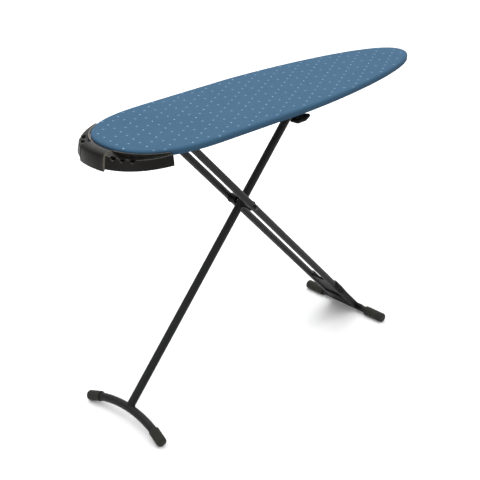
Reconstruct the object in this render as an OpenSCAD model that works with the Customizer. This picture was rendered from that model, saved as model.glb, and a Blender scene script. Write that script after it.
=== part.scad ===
// Compact free-standing ironing board with a scissor leg pair.
// Frame: +X towards the nose, +Z up, origin on the floor under the middle of the bounding box.

/* [Board] */
// Height of the ironing surface above the floor
board_h = 880; // [870:1:890]
// X of the rounded tail end of the cover
tail_x = -593.5; // [-596:0.5:-590]
// X of the narrow nose of the cover
nose_x = 637.5; // [630:0.5:640]
// Half of the greatest width of the cover
half_w = 172; // [165:1:176]
// Length over which the tail rounds off
tail_len = 300; // [290:1:310]
// Length over which the nose tapers
nose_len = 646; // [640:1:650]
// Thickness of the covered edge
edge_h = 19; // [18:0.5:20]

/* [Cover and pad] */
// Thickness of the cotton cover
cloth_t = 1.2; // [0.8:0.1:1.4]
// Thickness of the foam pad
pad_t = 6; // [5:0.1:6]
// Width of the hem turned under the panel
hem_w = 26; // [22:1:27]

/* [Panel] */
// Sheet thickness of the steel panel
panel_t = 1.2; // [1:0.1:1.5]
// Diameter of the steam vents
vent_d = 10; // [6:1:14]
// Distance between neighbouring vents
vent_pitch = 44; // [38:1:60]

/* [Legs] */
// Outer diameter of the twin leg tubes and of both foot bars
twin_d = 22; // [20:0.5:22]
// Outer diameter of the single leg tube
single_d = 25; // [22:0.5:25]
// Wall thickness of the tubes
wall = 1.4; // [1:0.1:2]
// Distance from the middle plane to the axis of each twin tube
twin_y = 49; // [49:0.5:50]
// Half the distance between the tips of the foot caps
foot_half = 173; // [168:1:176]
// Radius of the arched front foot bar
arch_r = 430; // [420:5:440]
// How much steeper than the leg the foot's arch stands
foot_lean = 9; // [6:1:12]
// Outer radius of the rubber foot caps
cap_r = 15.5; // [14:0.5:16]

/* [Folding linkage] */
// X of the scissor pivot with the board set up
pivot_x = -97; // [-98:0.5:-96]
// Height of the scissor pivot with the board set up
pivot_z = 559.5; // [559:0.5:560]
// Distance from the scissor pivot to each top joint
half_link = 373.5; // [373:0.5:374]
// Slope of the twin legs
twin_slope = 46.85; // [46.8:0.01:46.9]
// Slope of the single leg
single_slope = 48.24; // [48.2:0.01:48.3]
// Radial running clearance of pins in their bores
run_fit = 0.05; // [0.02:0.01:0.08]

/* [Release lever] */
// Y of the lever shaft
shaft_y = -68; // [-70:0.5:-67]
// Height of the lever shaft
shaft_z = 849; // [847:0.5:850]
// X of the middle of the lever handle
handle_x = -10; // [-14:0.5:-6]

/* [Hidden] */
$fn = 48;
gap = 0.2;

// Heights of the layers of the board
cover_low = board_h - edge_h;
pad_top = board_h - cloth_t - gap;
pad_low = pad_top - pad_t;
panel_top = pad_low - gap;
panel_low = panel_top - panel_t;
hem_top = cover_low + cloth_t;
rim_low = hem_top + gap;
panel_inset = cloth_t + 4 * gap;

// Linkage points in the XZ plane
hinge_x = pivot_x - half_link * cos(twin_slope);
hinge_z = pivot_z + half_link * sin(twin_slope);
slide_x = pivot_x + half_link * cos(single_slope);
slide_z = pivot_z + half_link * sin(single_slope);
slide_tilt = atan2(slide_z - hinge_z, slide_x - hinge_x);
open_angle = (twin_slope + single_slope) / 2;
fold_angle = 44.5;
span_folded = 2 * half_link * cos(open_angle - fold_angle);
span_open = 2 * half_link * cos(open_angle);
slide_travel = span_folded - span_open;

// Lower ends of the legs
floor_cut = 0.35;
rear_foot_z = cap_r - floor_cut;
rear_len = (pivot_z - rear_foot_z) / sin(twin_slope);
rear_foot_x = pivot_x + rear_len * cos(twin_slope);
cap_dome = 14;
cap_edge = 7;
// How far a cap's rounded end reaches in a direction at this cosine to its axis
function cap_reach(c) = (cap_dome - cap_edge) * c + (cap_r - cap_edge) * sqrt(1 - c * c) + cap_edge;
// The front caps touch the arch's centre line at their middles
front_cap_len = 52;
end_len = front_cap_len / 2 - cap_dome;
arch_turn = asin((foot_half - cap_reach(0.94) - end_len * 0.94) / arch_r);
bar_turn = arch_turn + 2.5;
end_fall = arch_r * (1 - cos(arch_turn)) + end_len * sin(arch_turn);
// The arch stands a little steeper than the leg
foot_slope = single_slope + foot_lean;
cap_low = cap_reach(sin(arch_turn) * sin(foot_slope)) - floor_cut;
front_len = (pivot_z - cap_low - end_fall * sin(foot_slope)) / sin(single_slope);
pin_r = 4;
bar_r = 5;
glide_r = 7;
tube_top = 14;
bracket_t = 2;
channel_y = 26;
rest_turn = 56;
comb_x = 106;

// ---------- outline of the board ----------
// A point of the tail at turn t from -90 to 90, and of the nose the same way
function side(t) = t < 0 ? -1 : 1;
function tail_raw(t) = [tail_x + tail_len * (1 - pow(cos(t), 2 / 3)),
                        side(t) * half_w * pow(sin(abs(t)), 1 / 1.1)];
function nose_raw(t) = [nose_x - nose_len * (1 - pow(cos(t), 4 / 3)),
                        side(t) * half_w * pow(sin(abs(t)), 0.9)];
function unit(v) = v / norm(v);
// Outward normals from the chord around the point
function tail_normal(t) = let (c = unit(tail_raw(t + 0.3) - tail_raw(t - 0.3))) [-c[1], c[0]];
function nose_normal(t) = let (c = unit(nose_raw(t + 0.3) - nose_raw(t - 0.3))) [c[1], -c[0]];
function tail_at(t, out) = tail_raw(t) + out * tail_normal(t);
function nose_at(t, out) = nose_raw(t) + out * nose_normal(t);
// Turns from -89 to 89, closer together at the tip
function turns(n, power) = [for (i = [-n:n]) side(i) * 89 * pow(abs(i) / n, power)];
function outline(out) = concat([for (t = turns(14, 1.3)) tail_at(-t, out)],
                               [for (t = turns(16, 1.6)) nose_at(t, out)]);
// A band beside the tail outline, between two distances out from it
function tail_band(out_a, out_b, t_a, t_b, step) =
    concat([for (t = [t_a:step:t_b]) tail_at(t, out_a)],
           [for (t = [t_b:-step:t_a]) tail_at(t, out_b)]);

module slab(low, high, out = 0)
    translate([0, 0, low]) linear_extrude(high - low) polygon(outline(out));
module tail_slab(low, high, out_a, out_b, t_a, t_b, step = 4)
    translate([0, 0, low]) linear_extrude(high - low) polygon(tail_band(out_a, out_b, t_a, t_b, step));
module both_sides()
    for (s = [0, 1]) mirror([0, s, 0]) children();
module y_rod(r, y0, y1)
    translate([0, y1, 0]) rotate([90, 0, 0]) cylinder(r = r, h = y1 - y0);
module x_rod(r, x0, x1)
    translate([x0, 0, 0]) rotate([0, 90, 0]) cylinder(r = r, h = x1 - x0);
module box(low, high)
    translate(low) cube(high - low);

// ---------- board ----------
module vent_holes() {
    for (i = [-14:14], j = [-3:3]) {
        x = i * vent_pitch;
        y = (j + (i % 2 == 0 ? 0 : 0.5)) * vent_pitch;
        tail_u = min(1, max(0, (x - tail_x) / tail_len));
        nose_u = min(1, max(0, (nose_x - x) / nose_len));
        room = half_w * min(pow(1 - pow(1 - tail_u, 3), 1 / 2.2), pow(1 - pow(1 - nose_u, 1.5), 0.45));
        if (abs(y) < room - 34 && x > tail_x + 50 && x < nose_x - 40)
            translate([x, y, panel_low - 1]) cylinder(d = vent_d, h = panel_t + 2, $fn = 24);
    }
}

module top_panel()
    color([0.30, 0.31, 0.32]) difference() {
        slab(rim_low, panel_top, -panel_inset);
        slab(rim_low - 1, panel_low, -panel_inset - panel_t);
        vent_holes();
    }

// A slab whose upper edge is rounded over, drawn in by a distance all round
module rounded_slab(low, high, inset)
    hull() {
        slab(high - 0.4, high, -7 - inset);
        slab(high - 3, high - 2.6, -2.2 - inset);
        slab(low, max(low + 0.5, high - 7), -inset);
    }
module foam_pad()
    color([0.85, 0.84, 0.78]) difference() {
        rounded_slab(hem_top, pad_top, cloth_t + gap);
        slab(hem_top - 1, pad_low, 5);
    }

module cover()
    color([0.33, 0.47, 0.58]) difference() {
        union() {
            rounded_slab(cover_low + 4, board_h, 0);
            slab(cover_low, cover_low + 5, 0);
        }
        rounded_slab(hem_top, pad_top + 0.1, cloth_t);
        slab(cover_low - 1, hem_top + 1, -hem_w);
    }

module hem_elastic()
    color([0.25, 0.36, 0.46]) difference() {
        slab(cover_low, cover_low + 2.5, -hem_w - gap);
        slab(cover_low - 1, cover_low + 4, -hem_w - gap - 4);
    }

// ---------- hanger rest ----------
// A moulded shell swept round the tail through radial sections of 17 corners each. Its arms
// have an inner rim, a shelf with a lip and three scalloped hook notches; the middle is a block.
// The block's ends and the notches, as turns to the right (less than 0) and left
block_from = -10.4;
block_to = 13.6;
rest_end = 57.4;
rim_top = 873;
notch_turns = [-30, -22.8, -16.2, 19, 26, 34];
// Outer edge, shelf height, lip height and underside of the arms at turn a
function arm_out(a) = 37.2 - 20.7 * pow(a / rest_turn, 1.6);
function arm_base(a) = 862.5 + 6.8 * pow(a / rest_turn, 3);
function arm_shelf(a) = arm_base(a) - 2 * min(1, max(0, (38 - a) / 6))
    + 8 * max(0, 1 - (a - 12) / 7);
function arm_lip(a) = arm_base(a) + 9 * max(0, 1 - a / 38);
function arm_low(a) = 833.8 + 8.2 * pow(a / rest_turn, 1.7);
// Sections as [distance out from the cover, height]
function arm_section(a) = let (o = arm_out(a), s = arm_shelf(a), w = arm_lip(a), b = arm_low(a))
    [[2.8, 852], [2.8, rim_top - 0.7], [3.5, rim_top], [7.2, rim_top], [8, rim_top - 0.7],
     [8.4, s], [o - 4.4, s], [o - 3.2, w], [o - 1.2, w], [o, w - 1.2],
     [o + 4, (w + b) / 2 + 1], [o + 7, b + 1], [o + 6.6, b],
     [o + 4, b], [o - 3, s - 4], [6, s - 4], [6, 852]];
block_section =
    [[2.8, 852], [2.8, rim_top - 0.7], [3.5, rim_top], [7.2, rim_top + 0.6], [9, 874],
     [20, 875], [29, 874.6], [35, 872.7], [39, 869], [41.7, 863.5],
     [43.2, 857], [44, 845], [43.4, 827],
     [40.4, 827], [36.5, 864], [6, 868], [6, 852]];
rest_steps = concat([-rest_end], [for (t = [-56:2:-12]) t], [block_from - 0.6],
                    [for (i = [0:10]) block_from + (block_to - block_from) * i / 10],
                    [block_to + 0.6], [for (t = [16:2:56]) t], [rest_end]);
function rest_section(t) = t > block_from - 0.1 && t < block_to + 0.1 ? block_section : arm_section(abs(t));
rest_points = [for (t = rest_steps) for (p = rest_section(t)) concat(tail_at(t, p[0]), [p[1]])];
corners = len(block_section);
rings = len(rest_steps);
rest_faces = concat(
    [for (i = [0:rings - 2]) for (j = [0:corners - 1]) let (k = (j + 1) % corners, m = i * corners)
        [m + j, m + k, m + corners + k, m + corners + j]],
    [[for (j = [corners - 1:-1:0]) j], [for (j = [0:corners - 1]) (rings - 1) * corners + j]]);
// A scallop through the lip, and the slot through the shelf behind it
module rest_notch(t) {
    n = tail_normal(t);
    a = abs(t);
    translate(concat(tail_at(t, arm_out(a)), [arm_base(a) + 5]))
        rotate([0, 0, atan2(n[1], n[0])]) x_rod(9.5, -6, 8, $fn = 32);
    translate(concat(tail_at(t, arm_out(a) - 9), [840])) cylinder(r = 5, h = 40, $fn = 24);
}
screw_x = -541;
screw_y = 40;
// The flat lip that carries the rest under the board
module rest_lip()
    tail_slab(852, 858, -56, 4.5, -24, 24);

module hanger_rest()
    color([0.17, 0.17, 0.16]) difference() {
        union() {
            polyhedron(rest_points, rest_faces);
            rest_lip();
        }
        for (t = notch_turns) rest_notch(t);
        both_sides() translate([screw_x, screw_y, 840]) cylinder(r = 2.1, h = 30, $fn = 24);
    }

module hanger_rest_screws()
    color([0.6, 0.6, 0.62]) both_sides() translate([screw_x, screw_y, 0]) {
        translate([0, 0, 849.5]) cylinder(r = 4, h = 2.4, $fn = 24);
        translate([0, 0, 851]) cylinder(r = 2, h = 12, $fn = 24);
    }

// Pressed braces across the underside
module brace(x0, x1, half, low)
    difference() {
        box([x0, -half, low], [x1, half, panel_low - 0.05]);
        box([x0 + 1.5, -half - 1, low + 1.5], [x1 - 1.5, half + 1, panel_low + 1]);
    }
module tail_brace()
    color([0.30, 0.31, 0.32]) difference() {
        brace(-552, -530, 52, 858.3);
        both_sides() translate([screw_x, screw_y, 850]) cylinder(r = 2.05, h = 15, $fn = 24);
    }
module middle_brace()
    color([0.30, 0.31, 0.32]) brace(-250, -226, 138, 860.5);
module nose_brace()
    color([0.30, 0.31, 0.32]) brace(456, 478, 74, 860.5);

// Channel that carries the crossbar of the single leg
module slide_slot(y0, y1)
    translate([slide_x, 0, slide_z]) rotate([0, -slide_tilt, 0]) {
        y_rod(glide_r + 0.3, y0, y1);
        translate([slide_travel + 1, 0, 0]) y_rod(glide_r + 0.3, y0, y1);
        translate([0, y0, -glide_r - 0.3]) cube([slide_travel + 1, y1 - y0, 2 * glide_r + 0.6]);
    }
module slide_channel()
    color([0.35, 0.36, 0.37]) difference() {
        box([122, -channel_y - 2, 825], [420, channel_y + 2, panel_low - 0.05]);
        box([121, -channel_y, 824], [421, channel_y, panel_low - 2]);
        slide_slot(-40, 40);
    }

// Hinge of the twin legs under the tail half
module hinge_bracket(s)
    color([0.35, 0.36, 0.37]) translate([hinge_x, s * twin_y, 0]) difference() {
        union() {
            box([-24, -twin_d / 2 - 0.4 - bracket_t, hinge_z], [24, twin_d / 2 + 0.4 + bracket_t, panel_low - 0.05]);
            translate([0, 0, hinge_z]) y_rod(12, -twin_d / 2 - 0.4 - bracket_t, twin_d / 2 + 0.4 + bracket_t);
        }
        box([-30, -twin_d / 2 - 0.4, hinge_z - 20], [30, twin_d / 2 + 0.4, panel_low - 2]);
        translate([0, 0, hinge_z]) y_rod(pin_r + 0.02, -30, 30);
    }
module hinge_bracket_left() hinge_bracket(1);
module hinge_bracket_right() hinge_bracket(-1);
pin_half = twin_y + twin_d / 2 + bracket_t + 5;
module hinge_pin()
    color([0.7, 0.7, 0.72]) translate([hinge_x, 0, hinge_z]) y_rod(pin_r, -pin_half, pin_half);
module hinge_pin_clips()
    color([0.12, 0.12, 0.12]) both_sides() translate([hinge_x, 0, hinge_z]) difference() {
        union() {
            y_rod(7, pin_half - 4, pin_half - 2.5);
            y_rod(5.5, pin_half - 4, pin_half + 1);
        }
        y_rod(pin_r + 0.02, pin_half - 5, pin_half);
    }

// Bearings and return spring of the release lever
shaft_r = 4;
module lever_clip(x)
    difference() {
        union() {
            box([x - 5, -9, 0], [x + 5, 9, panel_low - 0.05 - shaft_z]);
            x_rod(9, x - 5, x + 5);
        }
        x_rod(shaft_r + run_fit, x - 6, x + 6);
    }
module lever_clips()
    color([0.12, 0.12, 0.12]) translate([0, shaft_y, shaft_z]) {
        lever_clip(handle_x - arm_half - 7);
        lever_clip(92);
    }
module lever_spring()
    color([0.65, 0.65, 0.67]) translate([32, shaft_y, shaft_z]) {
        rotate([0, 90, 0]) rotate_extrude($fn = 40)
            for (i = [0:9]) translate([6, i * 1.7]) circle(r = 0.95, $fn = 16);
        translate([15.3, 0, 0]) rotate([-20, 0, 0]) translate([0, 6, 0]) cylinder(r = 0.9, h = 18, $fn = 16);
    }

// ---------- twin rear legs ----------
// Local frame of the twin legs: origin at the foot bar, +Z up the legs, +X out of their upper face
module on_rear_leg()
    translate([rear_foot_x, 0, rear_foot_z]) rotate([0, twin_slope - 90, 0]) children();
rear_top = rear_len + half_link;
module rear_tube(s)
    color([0.16, 0.16, 0.165]) on_rear_leg() translate([0, s * twin_y, 0]) difference() {
        cylinder(d = twin_d, h = rear_top + tube_top);
        translate([0, 0, -1]) cylinder(d = twin_d - 2 * wall, h = rear_top + tube_top + 2);
        y_rod(twin_d / 2 + 0.02, -20, 20);
        translate([0, 0, rear_len]) y_rod(pin_r + 0.02, -20, 20);
        translate([0, 0, rear_top]) y_rod(pin_r + run_fit, -20, 20);
    }
module rear_tube_left() rear_tube(1);
module rear_tube_right() rear_tube(-1);
module rear_tube_plugs()
    color([0.1, 0.1, 0.1]) on_rear_leg() both_sides() translate([0, twin_y, rear_top]) difference() {
        union() {
            translate([0, 0, -16]) cylinder(d = twin_d - 2 * wall - 0.04, h = 17 + tube_top);
            translate([0, 0, tube_top + 0.02]) cylinder(r1 = twin_d / 2, r2 = twin_d / 2 - 1.5, h = 2.5);
        }
        y_rod(pin_r + run_fit, -20, 20);
    }

// Moulded yoke that joins the twin tubes to the foot bar, thicker on its upper face
yoke_top = 180;
sleeve_r = 13;
module yoke_sleeve()
    translate([2, twin_y + 1, 0]) {
        translate([0, 0, yoke_top]) cylinder(r1 = sleeve_r, r2 = 8, h = 20);
        translate([0, 0, 140]) cylinder(r = sleeve_r, h = yoke_top - 140);
        translate([0, 0, 95]) cylinder(r1 = 10.5, r2 = sleeve_r, h = 45);
        cylinder(r = 10.5, h = 95);
    }
module rear_yoke()
    color([0.13, 0.13, 0.135]) on_rear_leg() difference() {
        union() {
            both_sides() yoke_sleeve();
            box([-4, -twin_y, 0], [4, twin_y, yoke_top + 15]);
            box([-10.5, -twin_y, 0], [12.4, twin_y, 78]);
            y_rod(12.8, -twin_y - 22, twin_y + 22);
            both_sides() translate([0, twin_y + 22, 0]) rotate([-90, 0, 0])
                cylinder(r1 = 12.8, r2 = twin_d / 2 + 0.6, h = 12);
        }
        translate([0, 0, yoke_top + 48]) x_rod(38, -20, 20);
        box([-30, -twin_y - 40, -30], [-8.5, twin_y + 40, 26]);
        both_sides() translate([0, twin_y, 0]) cylinder(d = twin_d + 0.04, h = 400);
        y_rod(twin_d / 2 + 0.02, -200, 200);
    }

rear_cap_len = 76;
module rear_foot_bar()
    color([0.16, 0.16, 0.165]) translate([rear_foot_x, 0, rear_foot_z]) difference() {
        y_rod(twin_d / 2, 4 - foot_half, foot_half - 4);
        y_rod(twin_d / 2 - wall, -foot_half, foot_half);
    }
// Rounded end of a cap, turned about its own axis, +Z towards the tip
module cap_end()
    rotate_extrude() {
        square([cap_r, cap_dome - cap_edge]);
        square([cap_r - cap_edge, cap_dome]);
        translate([cap_r - cap_edge, cap_dome - cap_edge]) intersection() {
            circle(r = cap_edge);
            square(cap_edge);
        }
    }
module rear_foot_cap(s)
    color([0.19, 0.19, 0.17]) difference() {
        translate([rear_foot_x, 0, rear_foot_z]) scale([1, s, 1]) difference() {
            union() {
                y_rod(cap_r, foot_half - rear_cap_len, foot_half - cap_dome);
                translate([0, foot_half - cap_dome, 0]) rotate([-90, 0, 0]) cap_end();
            }
            y_rod(twin_d / 2 + 0.02, 0, foot_half - 4 + 0.02);
        }
        translate([rear_foot_x - 50, -250, -50]) cube([100, 500, 50]);
    }
module rear_foot_cap_left() rear_foot_cap(1);
module rear_foot_cap_right() rear_foot_cap(-1);

// Scissor pivot
module at_pivot()
    translate([pivot_x, 0, pivot_z]) children();
bolt_half = twin_y + twin_d / 2;
module pivot_bolt()
    color([0.1, 0.1, 0.1]) at_pivot() {
        y_rod(pin_r, -bolt_half - 2, bolt_half + 9);
        y_rod(6.5, -bolt_half - 8, -bolt_half - 1.6, $fn = 6);
        y_rod(7.5, -bolt_half - 2.6, -bolt_half - 1.6);
    }
module pivot_washers()
    color([0.2, 0.2, 0.2]) at_pivot() both_sides() difference() {
        y_rod(8.5, bolt_half + 0.02, bolt_half + 1.6);
        y_rod(pin_r + 0.05, bolt_half - 1, bolt_half + 3);
    }
module pivot_nut()
    color([0.1, 0.1, 0.1]) at_pivot() difference() {
        union() {
            y_rod(7, bolt_half + 1.65, bolt_half + 8, $fn = 6);
            translate([0, bolt_half + 7, 0]) sphere(r = 5.2);
        }
        y_rod(pin_r + 0.02, bolt_half, bolt_half + 9.2);
    }
spacer_in = single_d / 2 + 0.4;
module pivot_spacer(s)
    color([0.06, 0.06, 0.06]) difference() {
        at_pivot() scale([1, s, 1]) difference() {
            union() {
                y_rod(15, spacer_in + 3, twin_y - 4);
                y_rod(12, spacer_in, spacer_in + 4);
            }
            y_rod(pin_r + 0.02, 0, 60);
        }
        on_rear_leg() translate([0, s * twin_y, 0]) cylinder(d = twin_d + 0.04, h = 2000);
    }
module pivot_spacer_left() pivot_spacer(1);
module pivot_spacer_right() pivot_spacer(-1);

// ---------- single front leg ----------
// Local frame of the single leg: origin at the crown of the foot bar, +Z up the leg
module on_front_leg()
    translate([pivot_x - front_len * cos(single_slope), 0, pivot_z - front_len * sin(single_slope)])
        rotate([0, 90 - single_slope, 0]) children();
// Stretch of a round bar along the foot's arch, between two turns from its crown
module arch(r, turn_a, turn_b)
    translate([0, 0, -arch_r]) rotate([0, -90, 0]) rotate([0, 0, turn_a])
        rotate_extrude(angle = turn_b - turn_a, $fn = 180) translate([arch_r, 0]) circle(r = r, $fn = 48);
front_top = front_len + half_link;
module front_tube()
    color([0.16, 0.16, 0.165]) on_front_leg() difference() {
        translate([0, 0, 3]) cylinder(d = single_d, h = front_top + tube_top - 3);
        translate([0, 0, -1]) cylinder(d = single_d - 2 * wall, h = front_top + tube_top + 2);
        rotate([0, -foot_lean, 0]) arch(single_d / 2 + 0.02, -6, 6);
        translate([0, 0, front_len]) y_rod(6 + 0.02, -20, 20);
        translate([0, 0, front_top]) y_rod(bar_r + 0.02, -20, 20);
    }
// Tangent frame of the foot bar at the middle of its +Y cap, +Z towards the tip
module on_foot()
    on_front_leg() rotate([0, -foot_lean, 0]) children();
module on_bar_end()
    translate([0, arch_r * sin(arch_turn), arch_r * (cos(arch_turn) - 1)])
        rotate([-90 - arch_turn, 0, 0]) children();
module front_foot_bar()
    color([0.16, 0.16, 0.165]) on_foot() difference() {
        arch(single_d / 2, -bar_turn, bar_turn);
        arch(single_d / 2 - wall, -bar_turn - 1, bar_turn + 1);
    }
module front_foot_cap(s)
    color([0.19, 0.19, 0.17]) difference() {
        on_foot() scale([1, s, 1]) difference() {
            on_bar_end() {
                translate([0, 0, -front_cap_len / 2]) cylinder(r = cap_r, h = front_cap_len - cap_dome);
                translate([0, 0, end_len]) cap_end();
            }
            arch(single_d / 2 + 0.02, 0, bar_turn + 0.005);
        }
        translate([-700, -250, -50]) cube([300, 500, 50]);
    }
module front_foot_cap_left() front_foot_cap(1);
module front_foot_cap_right() front_foot_cap(-1);
module pivot_bush()
    color([0.8, 0.8, 0.78]) at_pivot() difference() {
        y_rod(6, -single_d / 2 - 0.2, single_d / 2 + 0.2);
        y_rod(pin_r + run_fit, -20, 20);
    }
crossbar_half = 35;
module at_slide()
    translate([slide_x, 0, slide_z]) children();
module crossbar()
    color([0.6, 0.6, 0.62]) at_slide() y_rod(bar_r, -crossbar_half, crossbar_half);
module crossbar_glides()
    color([0.8, 0.8, 0.78]) at_slide() both_sides() difference() {
        union() {
            y_rod(glide_r, 24, crossbar_half + 1.5);
            y_rod(9, 21, 24.5);
        }
        y_rod(bar_r + 0.02, 20, crossbar_half + 0.02);
    }
module front_tube_plug()
    color([0.1, 0.1, 0.1]) on_front_leg() translate([0, 0, front_top]) difference() {
        union() {
            translate([0, 0, -16]) cylinder(d = single_d - 2 * wall - 0.04, h = 17 + tube_top);
            translate([0, 0, tube_top + 0.02]) cylinder(r1 = single_d / 2, r2 = single_d / 2 - 1.5, h = 2.5);
        }
        y_rod(bar_r + 0.02, -20, 20);
    }

// ---------- release lever ----------
lever_t = 2.5;
comb_y = -channel_y - 3.2;
comb_low = 817;
comb_tip = slide_z - glide_r - 0.7;
module lever_shaft()
    color([0.6, 0.6, 0.62]) translate([0, shaft_y, shaft_z]) x_rod(shaft_r, handle_x - arm_half - 15, comb_x + 24);
module comb_tooth(x)
    translate([x, comb_y, 0]) rotate([90, 0, 0]) linear_extrude(lever_t)
        polygon([[0, comb_low + 4], [0, comb_tip], [4, comb_tip], [13, comb_tip - 5], [13, comb_low + 4]]);
module shaft_seat()
    translate([0, shaft_y, shaft_z]) x_rod(shaft_r + 0.02, -60, 200);
arm_z = 843;
arm_half = 22;
module lever_arm()
    color([0.35, 0.36, 0.37]) difference() {
        box([handle_x - arm_half, -150, arm_z], [handle_x + arm_half, shaft_y + 3, arm_z + lever_t]);
        shaft_seat();
    }
module lever_comb()
    color([0.35, 0.36, 0.37]) difference() {
        union() {
            box([comb_x, shaft_y - 6, 853.5 - lever_t], [comb_x + 20, comb_y, 853.5]);
            box([comb_x, comb_y - lever_t, comb_low], [comb_x + 20, comb_y, 853.5]);
            box([comb_x, comb_y - lever_t, comb_low], [comb_x + 226, comb_y, comb_low + 6]);
            for (i = [0:4]) comb_tooth(comb_x + 54 + i * 40);
        }
        shaft_seat();
    }
// Paddle grip that hangs just below the near edge of the board
module lever_handle()
    color([0.12, 0.12, 0.12]) difference() {
        hull() {
            translate([handle_x - 35, -148, 841]) sphere(r = 4, $fn = 24);
            translate([handle_x - 22, -160, 838]) sphere(r = 6, $fn = 24);
            translate([handle_x + 8, -160, 838]) sphere(r = 6, $fn = 24);
            translate([handle_x + 28, -154, 842]) sphere(r = 6, $fn = 24);
            translate([handle_x + 20, -140, 843]) sphere(r = 4.5, $fn = 24);
            translate([handle_x - 19, -140, 843]) sphere(r = 4.5, $fn = 24);
        }
        box([handle_x - arm_half - 0.1, -150.1, arm_z - 0.1], [handle_x + arm_half + 0.1, -100, arm_z + lever_t + 0.1]);
    }

top_panel();
foam_pad();
cover();
hem_elastic();
hanger_rest();
hanger_rest_screws();
tail_brace();
middle_brace();
nose_brace();
slide_channel();
hinge_bracket_left();
hinge_bracket_right();
hinge_pin();
hinge_pin_clips();
lever_clips();
lever_spring();
rear_tube_left();
rear_tube_right();
rear_tube_plugs();
rear_yoke();
rear_foot_bar();
rear_foot_cap_left();
rear_foot_cap_right();
pivot_bolt();
pivot_washers();
pivot_nut();
pivot_spacer_left();
pivot_spacer_right();
front_tube();
front_foot_bar();
front_foot_cap_left();
front_foot_cap_right();
pivot_bush();
crossbar();
crossbar_glides();
front_tube_plug();
lever_shaft();
lever_arm();
lever_comb();
lever_handle();
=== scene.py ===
import math

import bmesh
import bpy
import numpy as np
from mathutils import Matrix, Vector, noise


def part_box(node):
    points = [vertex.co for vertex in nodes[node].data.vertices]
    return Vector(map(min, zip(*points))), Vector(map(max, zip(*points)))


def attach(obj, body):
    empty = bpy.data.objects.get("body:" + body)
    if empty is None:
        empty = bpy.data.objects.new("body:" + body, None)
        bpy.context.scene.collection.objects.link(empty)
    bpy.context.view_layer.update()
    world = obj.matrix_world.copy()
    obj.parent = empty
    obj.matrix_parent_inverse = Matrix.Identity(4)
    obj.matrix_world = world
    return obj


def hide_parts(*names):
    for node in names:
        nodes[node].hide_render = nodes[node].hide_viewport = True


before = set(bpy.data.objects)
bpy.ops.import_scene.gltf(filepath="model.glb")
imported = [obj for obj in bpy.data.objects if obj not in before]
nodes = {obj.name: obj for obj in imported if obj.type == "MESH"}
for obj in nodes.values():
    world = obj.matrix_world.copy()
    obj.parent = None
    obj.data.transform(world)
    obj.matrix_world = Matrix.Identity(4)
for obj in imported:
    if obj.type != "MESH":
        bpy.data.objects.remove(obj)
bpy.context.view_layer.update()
MM = 0.001
WELD = 2e-6  # points of a CAD mesh that are closer than this are one point


# ---------- small helpers ----------
def srgb(r, g, b):
    """A colour given in 0..255 as the linear value that a shader wants."""
    def one(c):
        c /= 255
        return c / 12.92 if c <= 0.04045 else ((c + 0.055) / 1.055) ** 2.4
    return (one(r), one(g), one(b), 1.0)


def shade_all(obj, smooth):
    obj.data.polygons.foreach_set("use_smooth", [smooth] * len(obj.data.polygons))


def new_mesh_object(name, points, faces):
    mesh = bpy.data.meshes.new(name)
    mesh.from_pydata([tuple(float(c) for c in p) for p in points], [], faces)
    mesh.validate()
    mesh.update()
    obj = bpy.data.objects.new(name, mesh)
    bpy.context.scene.collection.objects.link(obj)
    return obj


def apply_modifiers(obj):
    """Replaces an object's mesh by what its modifiers make of it."""
    graph = bpy.context.evaluated_depsgraph_get()
    made = bpy.data.meshes.new_from_object(obj.evaluated_get(graph))
    obj.modifiers.clear()
    obj.data = made


def copy_of_node(name, node):
    """A new object that starts from the welded mesh of a CAD node."""
    source = nodes[node].data
    mesh = bpy.data.meshes.new(name)
    work = bmesh.new()
    for v in source.vertices:
        work.verts.new(v.co)
    work.verts.ensure_lookup_table()
    for p in source.polygons:
        try:
            work.faces.new([work.verts[i] for i in p.vertices])
        except ValueError:
            pass  # a face that the CAD mesh holds twice
    bmesh.ops.remove_doubles(work, verts=work.verts, dist=WELD)
    bmesh.ops.recalc_face_normals(work, faces=work.faces)
    work.to_mesh(mesh)
    work.free()
    obj = bpy.data.objects.new(name, mesh)
    bpy.context.scene.collection.objects.link(obj)
    return obj


def moulded(name, node, voxel, rounds, smooth=0.5):
    """The CAD shape with its edges and inner corners softened, as a moulding has them."""
    obj = copy_of_node(name, node)
    remesh = obj.modifiers.new("remesh", "REMESH")
    remesh.mode = "VOXEL"
    remesh.voxel_size = voxel
    soften = obj.modifiers.new("soften", "SMOOTH")
    soften.factor = smooth
    soften.iterations = rounds
    apply_modifiers(obj)
    shade_all(obj, True)
    return obj


def round_edges(obj, width, angle):
    """Adds a bevel on the edges that are sharper than an angle in degrees."""
    bevel = obj.modifiers.new("edge", "BEVEL")
    bevel.width = width
    bevel.segments = 2
    bevel.limit_method = "ANGLE"
    bevel.angle_limit = math.radians(angle)


def edged(name, node, width):
    """The CAD shape with a small round along its sharp edges."""
    obj = copy_of_node(name, node)
    work = bmesh.new()
    work.from_mesh(obj.data)
    bmesh.ops.dissolve_limit(work, angle_limit=math.radians(1), verts=work.verts, edges=work.edges)
    work.to_mesh(obj.data)
    work.free()
    round_edges(obj, width, 35)
    apply_modifiers(obj)
    shade_all(obj, True)
    weigh = obj.modifiers.new("normals", "WEIGHTED_NORMAL")
    weigh.keep_sharp = True
    apply_modifiers(obj)
    return obj


def place(obj, body, material, slot, *replaced):
    """Gives a piece its material and body, and hides the CAD nodes that it replaces. The slot argument is
    not used.
    """
    obj.data.materials.clear()
    obj.data.materials.append(material)
    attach(obj, body)
    if replaced:
        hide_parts(*replaced)


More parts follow.
